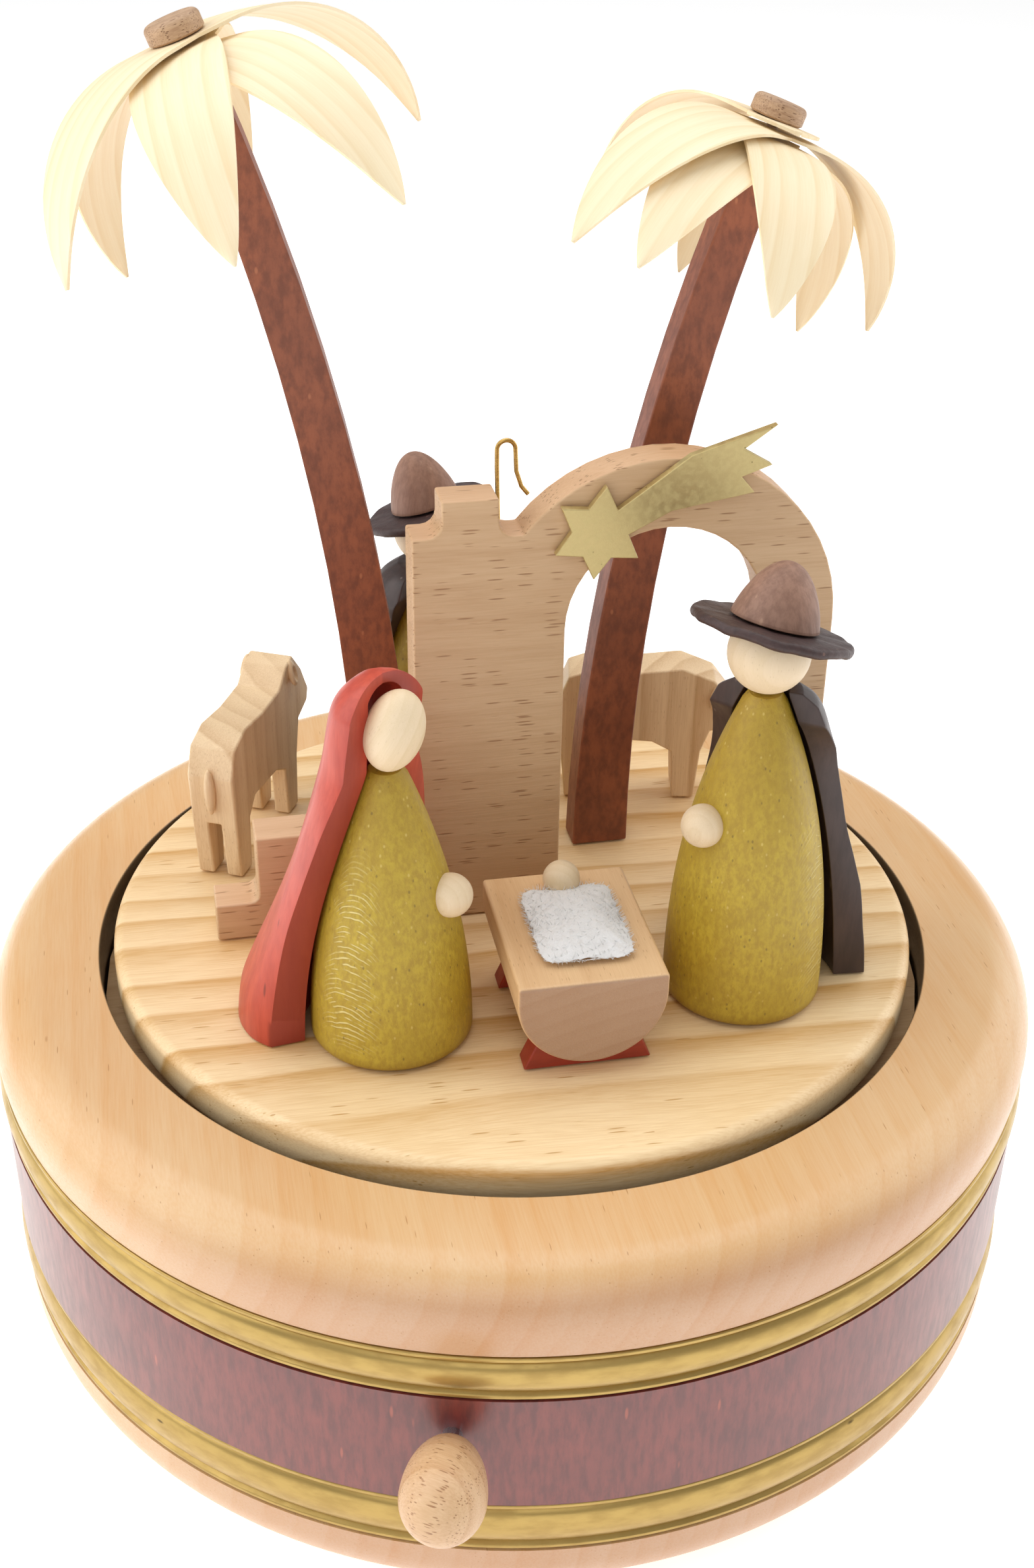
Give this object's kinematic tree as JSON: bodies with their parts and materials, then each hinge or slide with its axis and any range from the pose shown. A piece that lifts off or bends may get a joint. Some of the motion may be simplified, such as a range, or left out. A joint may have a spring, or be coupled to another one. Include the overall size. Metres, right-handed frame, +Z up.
{
  "type": "turning music box",
  "caption": "Wind-up music box: a turned wooden drum with a clockwork pin-and-comb movement inside turns a disc that carries a carved scene of figures, palms and an arched wall.",
  "frame": {"origin": "centre of the underside, on the axis of the drum and the disc", "axes": "+Z up along the disc's axis; the arched wall on the disc runs along X at rest; -Y is the side that the camera sees, with the stop knob"},
  "size_m": [0.18, 0.193, 0.2148],
  "materials": {
    "top_ring": "clear satin varnish on turned maple",
    "foot_ring": "clear satin varnish on turned maple",
    "upper_bead": "gilt bronze-gold lacquer",
    "lower_bead": "gilt bronze-gold lacquer",
    "red_band": "dark red stain, satin",
    "bottom_board": "raw plywood",
    "mount_board": "raw plywood",
    "bottom_screw_1": "bright",
    "bottom_screw_2": "bright",
    "bottom_screw_3": "bright",
    "movement_screw_1": "bright",
    "movement_screw_2": "bright",
    "movement_screw_3": "bright",
    "comb": "bright",
    "stop_rod": "bright",
    "turntable_spindle": "bright",
    "spindle_bush": "polished",
    "spring_barrel": "polished",
    "winding_key": "polished",
    "pin_cylinder": "polished",
    "governor": "polished",
    "herdsman_crook": "polished",
    "bedplate": "cast, satin",
    "stop_knob": "oiled beech, satin",
    "turntable_disc": "clear satin varnish, wide grain",
    "wall_arch": "oiled beech with dark flecks",
    "comet": "gold bronze paint on wood, satin",
    "crib_body": "clear matt varnish",
    "left_animal": "clear matt varnish",
    "right_animal": "clear matt varnish",
    "crib_rocker_front": "red stain, satin",
    "crib_rocker_rear": "red stain, satin",
    "fleece_pad": "white fleece",
    "crib_head": "pale turned wood, matt",
    "hooded_head": "pale turned wood, matt",
    "hooded_hand": "pale turned wood, matt",
    "hatted_head": "pale turned wood, matt",
    "hatted_hand": "pale turned wood, matt",
    "herdsman_head": "pale turned wood, matt",
    "hooded_robe": "olive yellow stain, satin",
    "hatted_robe": "olive yellow stain, satin",
    "herdsman_robe": "olive yellow stain, satin",
    "hooded_cloak": "red stain on carved wood, semi-gloss",
    "hatted_cloak": "dark brown stain on carved wood, satin",
    "herdsman_cloak": "dark brown stain on carved wood, satin",
    "hatted_brim": "dark brown stain on carved wood, satin",
    "herdsman_brim": "dark brown stain on carved wood, satin",
    "hatted_crown": "mid brown stain, matt",
    "herdsman_crown": "mid brown stain, matt",
    "left_palm_trunk": "dark red-brown stain, satin",
    "right_palm_trunk": "dark red-brown stain, satin",
    "left_palm_button": "pale bent veneer, matt",
    "right_palm_button": "pale bent veneer, matt",
    "left_palm_leaves_1": "pale bent veneer, matt",
    "left_palm_leaves_2": "pale bent veneer, matt",
    "left_palm_leaves_3": "pale bent veneer, matt",
    "right_palm_leaves_1": "pale bent veneer, matt",
    "right_palm_leaves_2": "pale bent veneer, matt",
    "right_palm_leaves_3": "pale bent veneer, matt",
    "right_palm_leaves_4": "pale bent veneer, matt"
  },
  "bodies": {
    "base": {"top_ring": "top_ring", "upper_bead": "upper_bead", "red_band": "red_band", "lower_bead": "lower_bead", "foot_ring": "foot_ring", "bottom_board": "bottom_board", "bottom_screw_1": "bottom_screw_1", "bottom_screw_2": "bottom_screw_2", "bottom_screw_3": "bottom_screw_3", "mount_board": "mount_board", "movement_screw_1": "movement_screw_1", "movement_screw_2": "movement_screw_2", "movement_screw_3": "movement_screw_3", "spindle_bush": "spindle_bush", "bedplate": "bedplate", "comb": "comb"},
    "barrel": {"spring_barrel": "spring_barrel"},
    "key": {"winding_key": "winding_key"},
    "cylinder": {"pin_cylinder": "pin_cylinder"},
    "governor": {"governor": "governor"},
    "stop": {"stop_rod": "stop_rod", "stop_knob": "stop_knob"},
    "turntable": {"turntable_spindle": "turntable_spindle", "herdsman_crook": "herdsman_crook", "turntable_disc": "turntable_disc", "wall_arch": "wall_arch", "comet": "comet", "crib_body": "crib_body", "left_animal": "left_animal", "right_animal": "right_animal", "crib_rocker_front": "crib_rocker_front", "crib_rocker_rear": "crib_rocker_rear", "fleece_pad": "fleece_pad", "crib_head": "crib_head", "hooded_head": "hooded_head", "hooded_hand": "hooded_hand", "hatted_head": "hatted_head", "hatted_hand": "hatted_hand", "herdsman_head": "herdsman_head", "hooded_robe": "hooded_robe", "hatted_robe": "hatted_robe", "herdsman_robe": "herdsman_robe", "hooded_cloak": "hooded_cloak", "hatted_cloak": "hatted_cloak", "herdsman_cloak": "herdsman_cloak", "hatted_brim": "hatted_brim", "herdsman_brim": "herdsman_brim", "hatted_crown": "hatted_crown", "herdsman_crown": "herdsman_crown", "left_palm_trunk": "left_palm_trunk", "right_palm_trunk": "right_palm_trunk", "left_palm_button": "left_palm_button", "right_palm_button": "right_palm_button", "left_palm_leaves_1": "left_palm_leaves_1", "left_palm_leaves_2": "left_palm_leaves_2", "left_palm_leaves_3": "left_palm_leaves_3", "right_palm_leaves_1": "right_palm_leaves_1", "right_palm_leaves_2": "right_palm_leaves_2", "right_palm_leaves_3": "right_palm_leaves_3", "right_palm_leaves_4": "right_palm_leaves_4"}
  },
  "joints": [
    {"name": "turntable_spin", "type": "hinge", "parent": "base", "child": "turntable", "pos_m": [0, 0, 0.06], "axis": [0, 0, 1], "continuous": true},
    {"name": "barrel_spin", "type": "hinge", "parent": "base", "child": "barrel", "pos_m": [-0.021, 0.022, 0.03], "axis": [0, 0, 1], "continuous": true},
    {"name": "cylinder_spin", "type": "hinge", "parent": "base", "child": "cylinder", "pos_m": [-0.021, 0, 0.043], "axis": [0, 1, 0], "continuous": true},
    {"name": "governor_spin", "type": "hinge", "parent": "base", "child": "governor", "pos_m": [-0.0107, -0.0318, 0.043], "axis": [0, 0, 1], "continuous": true},
    {"name": "key_turn", "type": "hinge", "parent": "base", "child": "key", "pos_m": [-0.021, 0.022, 0.0075], "axis": [0, 0, 1], "continuous": true},
    {"name": "stop_pull", "type": "slide", "parent": "base", "child": "stop", "axis": [-0.289, -0.9573, 0], "range_m": [0, 0.005]}
  ],
  "couplings": [
    {"joint": "barrel_spin", "follows": "turntable_spin", "ratio": -1},
    {"joint": "cylinder_spin", "follows": "turntable_spin", "ratio": 2}
  ]
}
